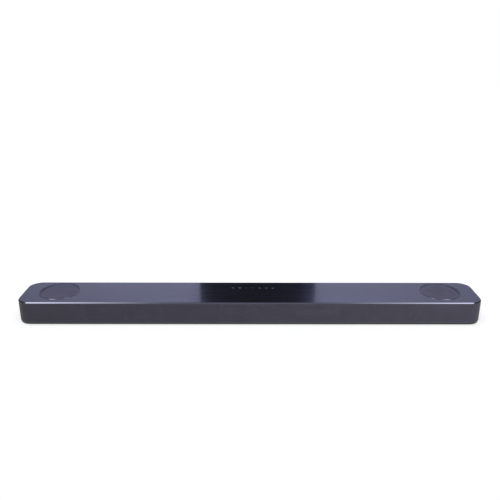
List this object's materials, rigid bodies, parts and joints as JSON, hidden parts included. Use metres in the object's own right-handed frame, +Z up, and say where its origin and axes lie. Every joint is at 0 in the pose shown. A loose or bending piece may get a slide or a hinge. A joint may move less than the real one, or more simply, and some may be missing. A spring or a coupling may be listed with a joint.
{
  "type": "soundbar",
  "caption": "Long slim television loudspeaker bar with a perforated front, a flat deck with touch keys, and a round upward-firing speaker grille in a shallow dish at each end.",
  "frame": {"origin": "on the surface the rubber feet stand on, under the middle of the bar's length and depth", "axes": "+X to the right seen from the front, -Y towards the listener, +Z up"},
  "size_m": [1.06, 0.119, 0.057],
  "materials": {
    "deck_metal": "brushed metal under a dark grey gloss coat, bright cut edge",
    "legend_white": "pale translucent, flush with the deck",
    "frame_plastic": "black moulded",
    "bezel_plastic": "dark metallic lacquer",
    "mesh_metal": "perforated, satin dark grey",
    "grille_metal": "finely perforated, satin charcoal",
    "cabinet_plastic": "fine moulded grain",
    "baffle_plastic": "black moulded",
    "box_plastic": "black moulded",
    "lens_smoke": "smoked, clear gloss",
    "board_green": "solder-masked glass-fibre board with its soldered parts",
    "heat_sink_metal": "extruded, satin",
    "rubber_black": "matte",
    "surround_rubber": "soft, satin",
    "insert_brass": "turned",
    "screw_steel": "black zinc",
    "basket_steel": "black powder coat",
    "motor_steel": "zinc-plated plates round a dark ferrite ring",
    "cone_paper": "coated pulp cone with its cap and voice coil",
    "dome_silk": "treated silk",
    "tweeter_plastic": "black moulded",
    "socket_steel": "nickel-plated shell",
    "socket_plastic": "black moulded",
    "guide_clear": "milky acrylic",
    "ribbon_film": "flat flexible cable",
    "loom_sleeve": "braided black sleeve"
  },
  "bodies": {
    "soundbar": {"amplifier_board": "board_green", "bracket_inserts": "insert_brass", "cabinet_screws": "screw_steel", "connector_panel": "cabinet_plastic", "dc_socket": "socket_plastic", "display_board": "board_green", "display_lens": "lens_smoke", "front_baffle": "baffle_plastic", "front_grille": "grille_metal", "hdmi_sockets": "socket_steel", "heat_sink": "heat_sink_metal", "light_guide": "guide_clear", "lower_cabinet": "cabinet_plastic", "main_board": "board_green", "optical_socket": "socket_plastic", "pan_screws": "screw_steel", "rubber_feet": "rubber_black", "speaker_box_center": "box_plastic", "speaker_box_left": "box_plastic", "speaker_box_right": "box_plastic", "top_frame": "frame_plastic", "top_panel": "deck_metal", "touch_board": "board_green", "touch_legends": "legend_white", "touch_ribbon": "ribbon_film", "tweeter_body_center": "tweeter_plastic", "tweeter_body_left": "tweeter_plastic", "tweeter_body_right": "tweeter_plastic", "upfire_bezel_left": "bezel_plastic", "upfire_bezel_right": "bezel_plastic", "upfire_box_left": "box_plastic", "upfire_box_right": "box_plastic", "upfire_frame_left": "basket_steel", "upfire_frame_right": "basket_steel", "upfire_grille_left": "mesh_metal", "upfire_grille_right": "mesh_metal", "upfire_motor_left": "motor_steel", "upfire_motor_right": "motor_steel", "upfire_surround_left": "surround_rubber", "upfire_surround_right": "surround_rubber", "usb_socket": "socket_steel", "wire_loom": "loom_sleeve", "wireless_module": "board_green", "woofer_frame_center": "basket_steel", "woofer_frame_left": "basket_steel", "woofer_frame_right": "basket_steel", "woofer_motor_center": "motor_steel", "woofer_motor_left": "motor_steel", "woofer_motor_right": "motor_steel", "woofer_surround_center": "surround_rubber", "woofer_surround_left": "surround_rubber", "woofer_surround_right": "surround_rubber"},
    "woofer_left_diaphragm": {"woofer_cone_left": "cone_paper"},
    "tweeter_left_diaphragm": {"tweeter_dome_left": "dome_silk"},
    "woofer_center_diaphragm": {"woofer_cone_center": "cone_paper"},
    "tweeter_center_diaphragm": {"tweeter_dome_center": "dome_silk"},
    "woofer_right_diaphragm": {"woofer_cone_right": "cone_paper"},
    "tweeter_right_diaphragm": {"tweeter_dome_right": "dome_silk"},
    "upfire_left_diaphragm": {"upfire_cone_left": "cone_paper"},
    "upfire_right_diaphragm": {"upfire_cone_right": "cone_paper"}
  },
  "joints": [
    {"name": "woofer_left_travel", "type": "slide", "parent": "soundbar", "child": "woofer_left_diaphragm", "axis": [0, -1, 0], "range_m": [-0.003, 0.003], "stiffness_N_per_m": 200},
    {"name": "tweeter_left_travel", "type": "slide", "parent": "soundbar", "child": "tweeter_left_diaphragm", "axis": [0, -1, 0], "range_m": [-0.0004, 0.0004], "stiffness_N_per_m": 40},
    {"name": "woofer_center_travel", "type": "slide", "parent": "soundbar", "child": "woofer_center_diaphragm", "axis": [0, -1, 0], "range_m": [-0.003, 0.003], "stiffness_N_per_m": 200},
    {"name": "tweeter_center_travel", "type": "slide", "parent": "soundbar", "child": "tweeter_center_diaphragm", "axis": [0, -1, 0], "range_m": [-0.0004, 0.0004], "stiffness_N_per_m": 40},
    {"name": "woofer_right_travel", "type": "slide", "parent": "soundbar", "child": "woofer_right_diaphragm", "axis": [0, -1, 0], "range_m": [-0.003, 0.003], "stiffness_N_per_m": 200},
    {"name": "tweeter_right_travel", "type": "slide", "parent": "soundbar", "child": "tweeter_right_diaphragm", "axis": [0, -1, 0], "range_m": [-0.0004, 0.0004], "stiffness_N_per_m": 40},
    {"name": "upfire_left_travel", "type": "slide", "parent": "soundbar", "child": "upfire_left_diaphragm", "axis": [0, -0.1392, 0.9903], "range_m": [-0.0025, 0.0025], "stiffness_N_per_m": 200},
    {"name": "upfire_right_travel", "type": "slide", "parent": "soundbar", "child": "upfire_right_diaphragm", "axis": [0, -0.1392, 0.9903], "range_m": [-0.0025, 0.0025], "stiffness_N_per_m": 200}
  ]
}
